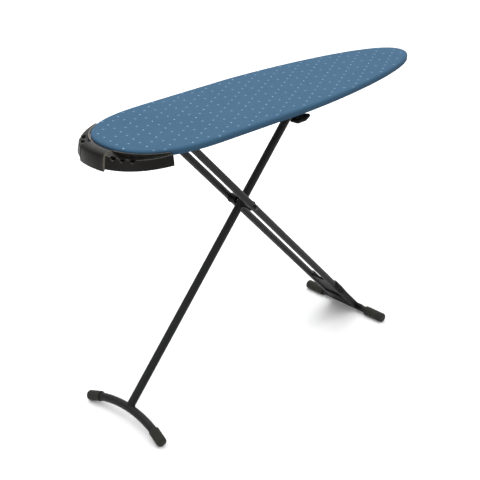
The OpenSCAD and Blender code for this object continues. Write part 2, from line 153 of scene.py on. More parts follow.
# ---------- materials ----------
class Shader:
    """A material's node tree, with short calls for the nodes used here."""

    def __init__(self, name, roughness, **constants):
        self.material = bpy.data.materials.new(name)
        self.material.use_nodes = True
        self.tree = self.material.node_tree
        self.shader = self.tree.nodes["Principled BSDF"]
        self.shader.inputs["Roughness"].default_value = roughness
        for key, value in constants.items():
            self.shader.inputs[key.replace("_", " ")].default_value = value
        self.place = self.node("ShaderNodeTexCoord").outputs["Object"]

    def node(self, kind, **settings):
        made = self.tree.nodes.new(kind)
        for key, value in settings.items():
            setattr(made, key, value)
        return made

    def link(self, source, target):
        self.tree.links.new(source, target)

    def math(self, operation, a, b=None):
        made = self.node("ShaderNodeMath", operation=operation)
        for i, value in enumerate((a, b)):
            if isinstance(value, (int, float)):
                made.inputs[i].default_value = value
            elif value is not None:
                self.link(value, made.inputs[i])
        return made.outputs[0]

    def vector(self, operation, a, b=None, scale=None, out="Vector"):
        made = self.node("ShaderNodeVectorMath", operation=operation)
        for i, value in enumerate((a, b)):
            if isinstance(value, tuple):
                made.inputs[i].default_value = value
            elif value is not None:
                self.link(value, made.inputs[i])
        if scale is not None:
            self.link(scale, made.inputs["Scale"])
        return made.outputs[out]

    def noise(self, scale, detail=2.0, stretch=None):
        where = self.place
        if stretch:
            where = self.vector("MULTIPLY", where, stretch)
        made = self.node("ShaderNodeTexNoise")
        self.link(where, made.inputs["Vector"])
        made.inputs["Scale"].default_value = scale
        made.inputs["Detail"].default_value = detail
        return made.outputs["Fac"]

    def cells(self, scale):
        made = self.node("ShaderNodeTexVoronoi")
        self.link(self.place, made.inputs["Vector"])
        made.inputs["Scale"].default_value = scale
        return made.outputs["Distance"]

    def ramp(self, value, low, high, out_low, out_high):
        made = self.node("ShaderNodeMapRange")
        self.link(value, made.inputs["Value"])
        for key, number in zip(("From Min", "From Max", "To Min", "To Max"),
                               (low, high, out_low, out_high)):
            made.inputs[key].default_value = number
        return made.outputs["Result"]

    def mix(self, fac, a, b):
        made = self.node("ShaderNodeMix", data_type="RGBA")
        self.link(fac, made.inputs["Factor"])
        for key, value in (("A", a), ("B", b)):
            socket = [s for s in made.inputs if s.name == key and s.type == "RGBA"][0]
            if isinstance(value, tuple):
                socket.default_value = value
            else:
                self.link(value, socket)
        return [s for s in made.outputs if s.type == "RGBA"][0]

    def colour(self, value):
        self.link(value, self.shader.inputs["Base Color"])

    def roughness(self, value):
        self.link(value, self.shader.inputs["Roughness"])

    def bump(self, height, distance, strength=1.0, over=None):
        made = self.node("ShaderNodeBump")
        made.inputs["Distance"].default_value = distance
        made.inputs["Strength"].default_value = strength
        self.link(height, made.inputs["Height"])
        if over is not None:
            self.link(over, made.inputs["Normal"])
        self.link(made.outputs["Normal"], self.shader.inputs["Normal"])
        return made.outputs["Normal"]


def shade(colour, factor):
    """A lighter or darker tone of a colour."""
    return tuple(c * factor for c in colour[:3]) + (1.0,)


def paint_material(name, colour, roughness):
    """Baked paint: a little orange peel, uneven gloss and tone."""
    s = Shader(name, roughness, Specular_IOR_Level=0.17)
    cloud = s.noise(14, 3)
    s.colour(s.mix(s.ramp(cloud, 0.35, 0.7, 0, 1), shade(colour, 0.9), shade(colour, 1.14)))
    s.roughness(s.ramp(s.noise(60, 4), 0.3, 0.7, roughness - 0.05, roughness + 0.08))
    s.bump(s.noise(900, 1), 0.00006, 0.5)
    return s.material


def plastic_material(name, colour, roughness, grain=1600, depth=0.00008, light=1.25, gloss=0.22):
    """Moulded plastic with a fine spark-eroded grain and faint scuffs."""
    s = Shader(name, roughness, Specular_IOR_Level=gloss)
    cloud = s.noise(9, 2)
    scuff = s.ramp(s.noise(120, 5, (1, 0.12, 1)), 0.62, 0.78, 0, 1)
    base = s.mix(s.ramp(cloud, 0.35, 0.65, 0, 1), shade(colour, 0.92), shade(colour, 1.1))
    s.colour(s.mix(scuff, base, shade(colour, light)))
    s.roughness(s.math("ADD", s.ramp(s.noise(45, 3), 0.3, 0.7, roughness - 0.06, roughness + 0.06),
                       s.math("MULTIPLY", scuff, 0.12)))
    s.bump(s.cells(grain), depth, 0.45)
    return s.material


def rubber_material(name, colour):
    """Matt rubber with a little dust."""
    s = Shader(name, 0.72, Specular_IOR_Level=0.2)
    dust = s.ramp(s.noise(40, 5), 0.5, 0.75, 0, 1)
    s.colour(s.mix(dust, colour, shade(colour, 1.45)))
    s.roughness(s.ramp(s.noise(200, 2), 0.3, 0.7, 0.62, 0.82))
    s.bump(s.noise(1400, 2), 0.00012, 0.6)
    return s.material


def steel_material(name, colour, roughness, metallic):
    """Drawn or turned steel with fine lines."""
    s = Shader(name, roughness, Metallic=metallic)
    lines = s.noise(700, 3, (1, 0.05, 1))
    s.colour(s.mix(s.noise(30, 4), shade(colour, 0.88), shade(colour, 1.1)))
    s.roughness(s.ramp(lines, 0.3, 0.7, roughness - 0.07, roughness + 0.1))
    s.bump(lines, 0.00003, 0.5)
    return s.material


def foam_material():
    """Pale open-cell foam."""
    s = Shader("foam", 0.95, Specular_IOR_Level=0.1)
    pores = s.cells(700)
    s.colour(s.mix(s.ramp(pores, 0.1, 0.5, 0, 1), srgb(176, 170, 148), srgb(226, 221, 200)))
    s.roughness(s.ramp(pores, 0, 0.6, 0.88, 1.0))
    s.bump(pores, 0.0006, 0.8)
    return s.material


CLOTH = srgb(57, 88, 113)
# The printed pattern, in metres on the board: the step from a bright dot to the next in its row,
# the step from a row to the next, and the place of one bright dot. Faint marks lie half way
# between two bright dots of a row, and again half way between two rows.
MARK_STEP = (-0.0091, -0.0643)
ROW_STEP = (0.0515, -0.0307)
MARK_START = (-0.4465, 0.072)
BRIGHT_RADIUS, BRIGHT_SOFT, BRIGHT_INK = 0.0021, 0.0006, 0.62
FAINT_RADIUS, FAINT_SOFT, FAINT_INK = 0.0034, 0.0012, 0.26
PRINT_FROM, PRINT_FULL = 0.8778, 0.8788  # height on the cover's edge where the print fades in
SIDE_SHADE_FROM, SIDE_SHADE_FULL = 0.8685, 0.8785    # height over which the side turns from painted shade to the top's tone


def cover_material():
    """Blue cotton: a plain weave, a slight cloudiness, a printed pattern of pin dots, and painted shade that
    darkens the side below the top.
    """
    s = Shader("cover_cloth", 0.88, Specular_IOR_Level=0.05, Sheen_Weight=0.03, Sheen_Roughness=0.5)
    half = (MARK_STEP[0] / 2, MARK_STEP[1] / 2)
    det = half[0] * ROW_STEP[1] - half[1] * ROW_STEP[0]
    along = (ROW_STEP[1] / det, -ROW_STEP[0] / det, 0.0)
    across = (-half[1] / det, half[0] / det, 0.0)
    spot = s.vector("SUBTRACT", s.place, (MARK_START[0], MARK_START[1], 0.0))
    a = s.vector("DOT_PRODUCT", spot, along, out="Value")
    b = s.vector("DOT_PRODUCT", spot, across, out="Value")

    def off_centre(value, period=1.0, start=0.0):
        """How far a value is from the nearest of the points start + n * period."""
        moved = s.math("ADD", s.math("MULTIPLY", s.math("SUBTRACT", value, start), 1 / period), 0.5)
        return s.math("MULTIPLY", s.math("SUBTRACT", s.math("FRACT", moved), 0.5), period)

    def dots(a_off, b_off, radius, soft):
        """1 inside a round dot and 0 outside it, with a soft edge."""
        side = s.vector("ADD",
                        s.vector("SCALE", (half[0], half[1], 0.0), scale=a_off),
                        s.vector("SCALE", (ROW_STEP[0], ROW_STEP[1], 0.0), scale=b_off))
        return s.ramp(s.vector("LENGTH", side, out="Value"), radius - soft, radius + soft, 1, 0)

    bright = dots(off_centre(a, 2.0), off_centre(b), BRIGHT_RADIUS, BRIGHT_SOFT)
    faint = s.math("MAXIMUM",
                   dots(off_centre(a, 2.0, 1.0), off_centre(b), FAINT_RADIUS, FAINT_SOFT),
                   dots(off_centre(a, 2.0, 1.0), off_centre(b, 1.0, 0.5), FAINT_RADIUS, FAINT_SOFT))
    height = s.node("ShaderNodeSeparateXYZ")
    s.link(s.place, height.inputs[0])
    on_top = s.ramp(height.outputs["Z"], PRINT_FROM, PRINT_FULL, 0, 1)
    warp = s.node("ShaderNodeTexWave", wave_type="BANDS", bands_direction="X")
    weft = s.node("ShaderNodeTexWave", wave_type="BANDS", bands_direction="Y")
    for wave in (warp, weft):
        s.link(s.place, wave.inputs["Vector"])
        wave.inputs["Scale"].default_value = 260
        wave.inputs["Distortion"].default_value = 0.6
        wave.inputs["Detail"].default_value = 1.0
    weave = s.math("MAXIMUM", warp.outputs["Fac"], weft.outputs["Fac"])
    cloud = s.ramp(s.noise(7, 3), 0.3, 0.7, 0, 1)
    ground = s.mix(cloud, shade(CLOTH, 0.95), shade(CLOTH, 1.05))
    thread = s.mix(s.ramp(weave, 0.2, 1.0, 0, 1), shade(CLOTH, 0.86), ground)
    # Painted shade: the side is darkened towards the hem, standing in for its facing away from the light
    # above
    thread = s.mix(s.ramp(height.outputs["Z"], SIDE_SHADE_FROM, SIDE_SHADE_FULL, 0, 1), shade(CLOTH, 0.66), thread)
    for marks, ink, colour in ((bright, BRIGHT_INK, srgb(176, 206, 226)),
                               (faint, FAINT_INK, srgb(160, 192, 214))):
        thread = s.mix(s.math("MULTIPLY", s.math("MULTIPLY", marks, on_top), ink), thread, colour)
    s.colour(thread)
    s.roughness(s.ramp(s.noise(300, 2), 0.3, 0.7, 0.82, 0.94))
    first = s.bump(weave, 0.00018, 0.5)
    s.bump(s.noise(55, 3), 0.0006, 0.35, over=first)
    return s.material


def elastic_material():
    """The woven sleeve of the hem's elastic."""
    s = Shader("elastic", 0.85, Sheen_Weight=0.2, Specular_IOR_Level=0.2)
    ribs = s.cells(900)
    s.colour(s.mix(s.ramp(ribs, 0.1, 0.5, 0, 1), srgb(52, 74, 92), srgb(78, 104, 126)))
    s.roughness(s.ramp(ribs, 0, 0.5, 0.78, 0.92))
    s.bump(ribs, 0.0003, 0.6)
    return s.material


def thread_material():
    """Twisted sewing thread, a little lighter than the cover."""
    s = Shader("thread", 0.8, Specular_IOR_Level=0.15)
    twist = s.noise(900, 2, (1, 1, 0.4))
    s.colour(s.mix(twist, srgb(70, 100, 128), srgb(104, 138, 166)))
    s.roughness(s.ramp(twist, 0.3, 0.7, 0.7, 0.88))
    s.bump(twist, 0.0001, 0.6)
    return s.material


materials = {
    "thread": thread_material(),
    "cover_cloth": cover_material(),
    "elastic": elastic_material(),
    "foam": foam_material(),
    "panel_paint": paint_material("panel_paint", srgb(122, 126, 130), 0.5),
    "tube_paint": paint_material("tube_paint", srgb(23, 23, 24), 0.42),
    "rest_plastic": plastic_material("rest_plastic", srgb(14, 13, 11), 0.36, 1300, 0.00006, 1.6, 0.15),
    # A lighter, glossier plastic that paints a highlight along the rest's rim, lip and flared block ends
    "rest_edge_highlight": plastic_material("rest_edge_highlight", srgb(66, 61, 52), 0.3, 1300, 0.00006, 1.5, 0.5),
    "yoke_plastic": plastic_material("yoke_plastic", srgb(9, 9, 9), 0.5, gloss=0.07),
    "black_plastic": plastic_material("black_plastic", srgb(9, 9, 9), 0.46, gloss=0.09),
    "cap_rubber": rubber_material("cap_rubber", srgb(36, 36, 31)),
    "plain_steel": steel_material("plain_steel", srgb(190, 190, 192), 0.3, 1.0),
    "black_steel": steel_material("black_steel", srgb(46, 46, 48), 0.4, 0.6),
    "white_nylon": plastic_material("white_nylon", srgb(222, 220, 212), 0.4, 1600, 0.00004, 0.85),
}
for node in nodes.values():
    for i, used in enumerate(node.data.materials):
        base = used.name.split(".")[0] if used else "black_plastic"
        node.material_slots[i].material = materials.get(base, materials["black_plastic"])

# ---------- outline of the board, in millimetres ----------
TAIL_X, NOSE_X, HALF_W = -593.5, 637.5, 172.0
TAIL_LEN, NOSE_LEN = 300.0, 646.0
STEP = 4.0


def tail_raw(t):
    """The tail's outline at turn t in radians, from 0 at the tip to a quarter turn at the side."""
    c, s = abs(math.cos(t)), abs(math.sin(t))
    return (TAIL_X + TAIL_LEN * (1 - c ** (2 / 3)), math.copysign(HALF_W * s ** (1 / 1.1), t))


def nose_raw(t):
    """The nose's outline, in the same way."""
    c, s = abs(math.cos(t)), abs(math.sin(t))
    return (NOSE_X - NOSE_LEN * (1 - c ** (4 / 3)), math.copysign(HALF_W * s ** 0.9, t))


def outline_points():
    """Evenly spaced points round the board and their outward normals, in millimetres.
    The two long sides mirror each other, so that the skins over them close on the middle line."""
    turns = np.linspace(0, 1, 1600)
    tail = [tail_raw(math.radians(90) * i ** 1.3) for i in turns]
    nose = [nose_raw(math.radians(90) * i ** 1.6) for i in turns[::-1]]
    half = np.array(tail + nose)
    run = np.concatenate([[0], np.cumsum(np.linalg.norm(np.diff(half, axis=0), axis=1))])
    keep = np.concatenate([[True], np.diff(run) > 1e-9])
    half, run = half[keep], run[keep]
    count = int(round(run[-1] / STEP))
    at = np.arange(count + 1) * run[-1] / count
    far = np.stack([np.interp(at, run, half[:, k]) for k in (0, 1)], axis=1)
    near = far[-2:0:-1] * (1, -1)
    points = np.vstack([far, near])
    chord = np.roll(points, -2, axis=0) - np.roll(points, 2, axis=0)
    chord /= np.linalg.norm(chord, axis=1)[:, None]
    normals = np.stack([-chord[:, 1], chord[:, 0]], axis=1)
    return points, normals, np.arange(len(points)) * run[-1] / count


outline, outward, distance = outline_points()
if outward[np.argmax(outline[:, 0])][0] < 0:
    outward = -outward


def ripple(pitch, seed):
    """A gathered edge's puckers along the outline, from 0 to 1, never quite regular."""
    out = []
    for s in distance:
        drift = noise.noise(Vector((s / 70.0, seed, 0.0))) * 1.6
        size = 0.62 + 0.38 * noise.noise(Vector((s / 33.0, seed + 7.0, 2.0)))
        out.append(size * (0.5 + 0.5 * math.sin(2 * math.pi * s / pitch + drift * 2.2)))
    return np.array(out)


def ring_of(inset, height):
    """One closed ring of points at a distance in from the outline."""
    flat = outline - outward * np.asarray(inset).reshape(-1, 1)
    return np.column_stack([flat, np.broadcast_to(height, (len(outline),))]) * MM


def inner_rings(edge, height, steps):
    """Rings that close a flat area from an edge ring to the board's middle line."""
    flat = edge[:, :2] / MM
    low, high = flat[:, 0].min(), flat[:, 0].max()
    middle = np.interp(flat[:, 0], [low, high], [low + 150, high - 110])
    spine = np.column_stack([middle, np.zeros(len(flat))])
    rings = []
    for k in range(1, steps + 1):
        part = k / steps
        at = flat + (spine - flat) * part
        rings.append(np.column_stack([at, np.broadcast_to(height(at), (len(at),))]) * MM)
    return rings


def skin(rings, closed=False):
    """Points and faces of a skin over rings of equal count."""
    count = len(rings[0])
    points = np.vstack(rings)
    faces = []
    last = len(rings) if closed else len(rings) - 1
    for r in range(last):
        a, b = r * count, ((r + 1) % len(rings)) * count
        for j in range(count):
            k = (j + 1) % count
            faces.append((a + j, a + k, b + k, b + j))
    return points, faces


def merged(obj, dist, smooth=True):
    """Welds points closer than a distance and turns all faces outward."""
    work = bmesh.new()
    work.from_mesh(obj.data)
    bmesh.ops.remove_doubles(work, verts=work.verts, dist=dist)
    bmesh.ops.dissolve_degenerate(work, edges=work.edges, dist=1e-6)
    bmesh.ops.recalc_face_normals(work, faces=work.faces)
    work.to_mesh(obj.data)
    work.free()
    shade_all(obj, smooth)
    return obj


# ---------- fabric cover ----------
RING_WELD = 0.0004  # closes the cover and pad on the board's middle line
FINE_WELD = 1e-6
HEM_LOW = 861.0     # underside of the hem
CLOTH_THICK = 0.0009
pucker = ripple(13.0, 3.0)
fold = ripple(37.0, 11.0)


def top_height(at):
    """The height of the cover's top, which is never quite flat."""
    wave = np.array([noise.noise(Vector((x / 90.0, y / 60.0, 5.0))) for x, y in at])
    return 879.75 + 0.22 * wave


def cover_rings():
    """The cover from the hem's inner edge under the board, round its side, to the middle of the top."""
    rings = []
    # Each ring's inset, height and share of the hem's puckers
    under = [(25.7, 863.0, 0.2), (25.9, 861.6, 1.0), (24.6, 861.1, 1.0), (22, HEM_LOW, 1.0),
             (18.5, HEM_LOW, 0.85), (14.5, HEM_LOW, 0.7), (10.5, HEM_LOW, 0.5), (6.5, HEM_LOW, 0.32),
             (3.4, 861.1, 0.22), (1.5, 861.5, 0.15), (0.5, 862.3, 0.1), (0.1, 863.6, 0.06)]
    for inset, height, gather in under:
        rings.append(ring_of(inset, height - gather * (1.9 * pucker + 0.7 * fold)))
    sides = [(0.0, 865.4, 0.35), (0.0, 867.8, 0.25), (0.0, 870.4, 0.16), (0.0, 872.8, 0.08),
             (0.35, 874.5, 0.0), (1.1, 876.1, 0.0), (2.2, 877.4, 0.0), (3.7, 878.5, 0.0),
             (5.3, 879.3, 0.0), (7.2, 879.8, 0.0), (9.6, 879.95, 0.0), (13, 879.9, 0.0)]
    for inset, height, gather in sides:
        rings.append(ring_of(inset + gather * (0.9 - 1.1 * pucker - 0.4 * fold), height))
    rings += inner_rings(rings[-1], top_height, 24)
    return rings


def area_of(obj):
    work = bmesh.new()
    work.from_mesh(obj.data)
    total = sum(f.calc_area() for f in work.faces)
    work.free()
    return total


points, faces = skin(cover_rings())
cover = merged(new_mesh_object("cover_cloth_sheet", points, faces), RING_WELD)
cover_area = area_of(cover)
thick = cover.modifiers.new("cloth", "SOLIDIFY")
thick.thickness = CLOTH_THICK
thick.offset = -1.0
apply_modifiers(cover)
place(cover, "board", materials["cover_cloth"], "cover_cloth", "cover")


# ---------- topstitching beside the hem ----------
def stitches(name, inset, pitch, length, wide):
    """Short thread stitches in a line round the underside of the hem."""
    run = np.append(distance, distance[-1] + np.linalg.norm(outline[0] - outline[-1]))
    ring = np.vstack([outline, outline[:1]])
    away = np.vstack([outward, outward[:1]])
    ruffle = np.append(pucker, pucker[0]) * 1.9 + np.append(fold, fold[0]) * 0.7
    made_points, made_faces = [], []
    for k in range(int(run[-1] / pitch)):
        for part, (half, proud) in enumerate(((0.15, 0.0), (1.0, 0.34), (1.0, 0.34), (0.15, 0.0))):
            s = k * pitch + length * part / 3
            at = [np.interp(s, run, ring[:, i]) - inset * np.interp(s, run, away[:, i]) for i in (0, 1)]
            side = [np.interp(s, run, away[:, i]) * wide / 2 * half for i in (0, 1)]
            z = HEM_LOW + 0.05 - 0.85 * np.interp(s, run, ruffle)
            made_points += [(at[0] - side[0], at[1] - side[1], z), (at[0], at[1], z - proud),
                            (at[0] + side[0], at[1] + side[1], z), (at[0], at[1], z + 0.12)]
        # Four sections of four corners make one stitch
        base = len(made_points) - 16
        for part in range(3):
            for j in range(4):
                a, b = base + part * 4 + j, base + part * 4 + (j + 1) % 4
                made_faces.append((a, b, b + 4, a + 4))
        made_faces += [tuple(base + j for j in (3, 2, 1, 0)), tuple(base + 12 + j for j in range(4))]
    return merged(new_mesh_object(name, np.array(made_points) * MM, made_faces), 1e-7)


thread = stitches("hem_stitching", inset=18.5, pitch=4.2, length=2.9, wide=0.7)
place(thread, "board", materials["thread"], "cover_cloth")


# ---------- elastic in the hem ----------
def band(name, inset, height, wide, tall, wave):
    """A soft cord of rounded section that runs round under the board."""
    section = [(math.cos(k * math.pi / 4), math.sin(k * math.pi / 4)) for k in range(8)]
    rings = []
    for c, s in section:
        rings.append(ring_of(inset + wide / 2 * c + 0.35 * wave, height + tall / 2 * s - 0.8 * wave))
    made_points, made_faces = skin(rings, closed=True)
    return merged(new_mesh_object(name, made_points, made_faces), FINE_WELD)


elastic = band("hem_elastic_cord", inset=28.2, height=862.2, wide=3.6, tall=2.3, wave=pucker)
place(elastic, "board", materials["elastic"], "elastic", "hem_elastic")


# ---------- foam pad ----------
PAD_LOW, PAD_TOP, PAD_STEPS = 872.75, 878.3, 20


def pad_rings():
    """The pad from the middle of its underside, round its edge, to the middle of its top."""
    edge = [(12, PAD_LOW), (6, 872.7), (2.4, PAD_LOW), (1.75, 873.4), (1.75, 874.4), (2.3, 875.8),
            (3.3, 876.7), (5.1, 877.8), (8.2, 878.25), (12, PAD_TOP)]
    bottom = inner_rings(ring_of(12, PAD_LOW), lambda at: PAD_LOW, PAD_STEPS)
    rings = bottom[::-1] + [ring_of(inset, height) for inset, height in edge]
    return rings + inner_rings(rings[-1], lambda at: PAD_TOP, PAD_STEPS)


def settled(obj, pressure, frames, most):
    """Lets a closed soft piece swell a little as cloth under pressure, by no more than a cap."""
    before = np.array([v.co[:] for v in obj.data.vertices])
    cloth = obj.modifiers.new("swell", "CLOTH")
    cloth.settings.use_pressure = True
    cloth.settings.uniform_pressure_force = pressure
    cloth.settings.tension_stiffness = 40
    cloth.settings.bending_stiffness = 5
    cloth.settings.effector_weights.gravity = 0
    cloth.point_cache.frame_start, cloth.point_cache.frame_end = 1, frames
    scene = bpy.context.scene
    for number in range(1, frames + 1):
        scene.frame_set(number)
    graph = bpy.context.evaluated_depsgraph_get()
    after = np.array([v.co[:] for v in obj.evaluated_get(graph).data.vertices])
    obj.modifiers.clear()
    scene.frame_set(1)
    moved = after - before
    size = np.linalg.norm(moved, axis=1)[:, None]
    moved *= np.minimum(1.0, most / np.maximum(size, 1e-9))
    obj.data.vertices.foreach_set("co", (before + moved).ravel())
    obj.data.update()


points, faces = skin(pad_rings())
pad = merged(new_mesh_object("foam_pad_soft", points, faces), RING_WELD)
settled(pad, pressure=4.0, frames=20, most=0.00025)
place(pad, "board", materials["foam"], "foam", "foam_pad")

# ---------- hanger rest, in millimetres and degrees round the tail ----------
REST_END, RIM_TOP = 57.4, 873.0
# The block's half turn and the notches' turns, on the left (far) and right (near) side
BLOCK_TURN = {1: 13.6, -1: 10.4}
NOTCHES = {1: (19.0, 26.0, 34.0), -1: (16.2, 22.8, 30.0)}
ARM_TURN = 56         # where the arms are at their slimmest
NOTCH_DEEP = 8.2      # how far a notch lowers the lip
POCKET_DEEP = 15.0    # how far the shelf drops behind a notch
LIP_TURN = 38         # from this turn on, the lip is level with the shelf


def tail_out(t, out):
    """A point beside the tail at turn t in degrees, some distance out from the cover."""
    a, b = (np.array(tail_raw(math.radians(t + d))) for d in (-0.3, 0.3))
    along = (b - a) / np.linalg.norm(b - a)
    return np.array(tail_raw(math.radians(t))) + out * np.array([-along[1], along[0]])


def ease(value):
    """A smooth step from 0 to 1."""
    value = min(1.0, max(0.0, value))
    return value * value * (3 - 2 * value)


def rest_section(t):
    """One section of the rest as (distance out, height), from the inner rim over the shelf and lip
    to the outer wall and back inside. The middle block rises smoothly out of the arms."""
    a = abs(t)
    hand = 1 if t > 0 else -1
    part = min(1.0, a / ARM_TURN)
    out = 37.2 - 20.7 * part ** 1.6
    base = 862.5 + 6.8 * part ** 3
    shelf = base - 2 * min(1, max(0, (LIP_TURN - a) / 6)) + 8 * max(0, 1 - (a - 12) / 7)
    shelf = min(shelf, RIM_TOP - 1.5)
    lip = base + 9 * max(0, 1 - a / LIP_TURN)
    low = 833.8 + 8.2 * part ** 1.7
    scallop = pocket = 0.0
    for notch in NOTCHES[hand]:
        arc = math.dist(tail_out(a, out - 4), tail_out(notch, out - 4))
        scallop = max(scallop, NOTCH_DEEP * ease(1.25 - arc / 8.6))
        pocket = max(pocket, POCKET_DEEP * ease(2.1 - arc / 4.2))
    lip_top = lip - scallop
    rim = RIM_TOP - 5.5 * ease((a - 54.6) / 3) ** 2
    hollow = min(shelf, lip_top) - pocket
    arm = [(6.2, 852), (2.8, 852), (2.8, rim - 0.8), (3.4, rim), (6.9, rim), (7.6, rim - 0.8),
           (8.3, min(shelf + 0.6, rim - 1)), (9.2, shelf), (out - 13.6, shelf),
           (out - 12.8, hollow), (out - 5.2, hollow),
           (out - 3.6, min(shelf, lip_top) - pocket * 0.4), (out - 2.9, lip_top - 0.5), (out - 2.3, lip_top),
           (out - 0.9, lip_top), (out - 0.1, lip_top - 0.8), (out + 1.6, lip_top - 3.4 + 0.25 * scallop),
           (out + 4, (lip + low) / 2 + 1), (out + 6.9, low + 1.2), (out + 6.5, low), (out + 4, low),
           (out + 1.2, (lip + low) / 2 - 2), (out - 2.6, hollow - 4), (6.2, hollow - 4)]
    block = [(6.2, 852), (2.8, 852), (2.8, RIM_TOP - 0.6), (3.4, RIM_TOP), (5.6, RIM_TOP + 0.3),
             (7.2, RIM_TOP + 0.6), (8.4, RIM_TOP + 0.9), (10, 874.3), (14, 874.7), (19, 875),
             (23, 874.9), (27, 874.7), (30, 874.4), (32.6, 873.7), (35, 872.7), (37.3, 871),
             (39.3, 868.5), (41.9, 863.3), (43.9, 845), (43.4, 827), (40.6, 827),
             (39, 845), (36.5, 862), (6.2, 867)]
    mix = ease((BLOCK_TURN[hand] + 0.75 - a) / 0.9)
    flare = 1.1 * ease(1 - abs(a - BLOCK_TURN[hand] + 0.7) / 1.5)
    section = [tuple(p + (q - p) * mix for p, q in zip(one, two)) for one, two in zip(arm, block)]
    return [(o + (flare * mix if 15 <= k <= 18 else 0), h) for k, (o, h) in enumerate(section)]


def loft(turns, section):
    """Points and faces of a closed solid through a section at each turn round the tail."""
    rings = []
    for t in turns:
        row = [(*tail_out(t, out), height) for out, height in section(t)]
        rings.append(np.array(row) * MM)
    made_points, made_faces = skin(rings)
    corners = len(rings[0])
    made_faces.append(tuple(range(corners - 1, -1, -1)))
    made_faces.append(tuple((len(rings) - 1) * corners + j for j in range(corners)))
    return made_points, made_faces


def rest_turns():
    """Even steps round the rest, with extra ones where the block rises out of the arms."""
    turns = list(np.arange(-REST_END, REST_END + 0.001, 0.4))
    for side in (-1, 1):
        turns += [side * (BLOCK_TURN[side] + past) for past in (-0.15, 0.0, 0.15, 0.3, 0.45, 0.6, 0.75)]
    keep = []
    for t in sorted(turns):
        if not keep or t - keep[-1] > 0.08:
            keep.append(t)
    return keep


def rest_is_highlit_edge(t, corner):
    """True for the faces of the thin rim, the wavy lip and the block's flared ends, which get a lighter,
    glossier material as a painted highlight.
    """
    past = abs(t) - BLOCK_TURN[1 if t > 0 else -1]
    if past > 0.7:
        return corner in (2, 3, 12, 13)
    return past > -0.35 and 6 <= corner <= 18


turns = rest_turns()
points, faces = loft(turns, rest_section)
rest = new_mesh_object("hanger_rest_moulding", points, faces)
# The skin's faces come first and in the order of loft, so a face's number gives its turn and corner
corners = len(rest_section(0.0))
# Painted highlight: the faces of the rim, lip and flared block ends take the second, lighter material
if len(rest.data.polygons) == len(faces):
    for i in range((len(turns) - 1) * corners):
        t = (turns[i // corners] + turns[i // corners + 1]) / 2
        rest.data.polygons[i].material_index = int(rest_is_highlit_edge(t, i % corners))
merged(rest, FINE_WELD)
round_edges(rest, 0.0005, 38)
rest.modifiers.new("normals", "WEIGHTED_NORMAL")
apply_modifiers(rest)
# place() clears the materials, and with them each face's index
highlit_edge_of = [p.material_index for p in rest.data.polygons]
place(rest, "board", materials["rest_plastic"], "rest_plastic", "hanger_rest")
# The second material is the painted highlight on the rim, lip and flared ends
rest.data.materials.append(materials["rest_edge_highlight"])
rest.data.polygons.foreach_set("material_index", highlit_edge_of)

# The flange that carries the rest under the board, as the CAD's rest has it
FLANGE_TURN = 24
FLANGE_SECTION = [(-56, 852), (4.5, 852), (4.5, 857.6), (-55.4, 857.6), (-56, 857)]
points, faces = loft(np.arange(-FLANGE_TURN, FLANGE_TURN + 0.001, 1.0), lambda t: FLANGE_SECTION)
flange = merged(new_mesh_object("hanger_rest_flange", points, faces), FINE_WELD, smooth=False)
place(flange, "board", materials["rest_plastic"], "rest_plastic")

# ---------- moulded pieces with softened edges ----------
yoke = moulded("rear_yoke_moulding", "rear_yoke", 0.0015, 14, 0.6)
place(yoke, "rear_legs", materials["yoke_plastic"], "yoke_plastic", "rear_yoke")
handle = moulded("lever_handle_grip", "lever_handle", 0.001, 6)
place(handle, "release_lever", materials["black_plastic"], "black_plastic", "lever_handle")


# ---------- rubber foot caps, in metres ----------
CAP_RADIUS = 0.0157
CAP_VOXEL = 0.0009
GROOVES, GROOVE_DEEP, GROOVE_HALF = 4, 0.00045, 0.0012
NECK_AT, NECK_DEEP, NECK_HALF = 0.0042, 0.0009, 0.0014


def ribbed_cap(name, node, start, end):
    """The CAD cap with a neck behind its mouth, which leaves a rolled lip, and grooves towards its end."""
    obj = copy_of_node(name, node)
    remesh = obj.modifiers.new("remesh", "REMESH")
    remesh.mode = "VOXEL"
    remesh.voxel_size = CAP_VOXEL
    soften = obj.modifiers.new("soften", "SMOOTH")
    soften.iterations = 2
    apply_modifiers(obj)
    start, end = Vector(start), Vector(end)
    axis = (end - start).normalized()
    length = (end - start).length
    for v in obj.data.vertices:
        along = (v.co - start).dot(axis)
        radial = v.co - start - axis * along
        if radial.length < CAP_RADIUS - 0.0022 or along > length - 0.004:
            continue  # inside the cap, or on its rounded end
        groove = sum(ease(1 - abs(along - length * (0.42 + 0.11 * k)) / GROOVE_HALF) for k in range(GROOVES))
        v.co -= radial.normalized() * GROOVE_DEEP * min(1.0, groove)
        if along < 0.006:
            v.co -= radial.normalized() * NECK_DEEP * ease(1 - abs(along - NECK_AT) / NECK_HALF)
    shade_all(obj, True)
    return obj


for hand, sign in (("left", 1), ("right", -1)):
    node = "rear_foot_cap_" + hand
    low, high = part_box(node)
    across = (low.x + high.x) / 2
    tall = (low.z + high.z) / 2
    mouth, tip = (low.y, high.y) if sign > 0 else (high.y, low.y)
    cap = ribbed_cap("rear_cap_rubber_" + hand, node, (across, mouth, tall), (across, tip, tall))
    place(cap, "rear_legs", materials["cap_rubber"], "cap_rubber", node)
    # The front caps lie aslant, so their ends are found from the points nearest to each end
    node = "front_foot_cap_" + hand
    low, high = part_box(node)
    start, end = (low.y, high.y) if sign > 0 else (high.y, low.y)
    cap_points = [v.co for v in nodes[node].data.vertices]
    near = [co for co in cap_points if sign * co.y < sign * start + 0.004]
    far = [co for co in cap_points if sign * co.y > sign * end - 0.003]
    mouth = sum(near, Vector()) / len(near)
    tip = sum(far, Vector()) / len(far)
    cap = ribbed_cap("front_cap_rubber_" + hand, node, mouth, tip)
    place(cap, "front_leg", materials["cap_rubber"], "cap_rubber", node)


# ---------- weld bead where the single leg meets its foot bar ----------
SINGLE_SLOPE = math.radians(48.24)
SINGLE_RADIUS = 0.0125  # of the single leg and of its foot bar


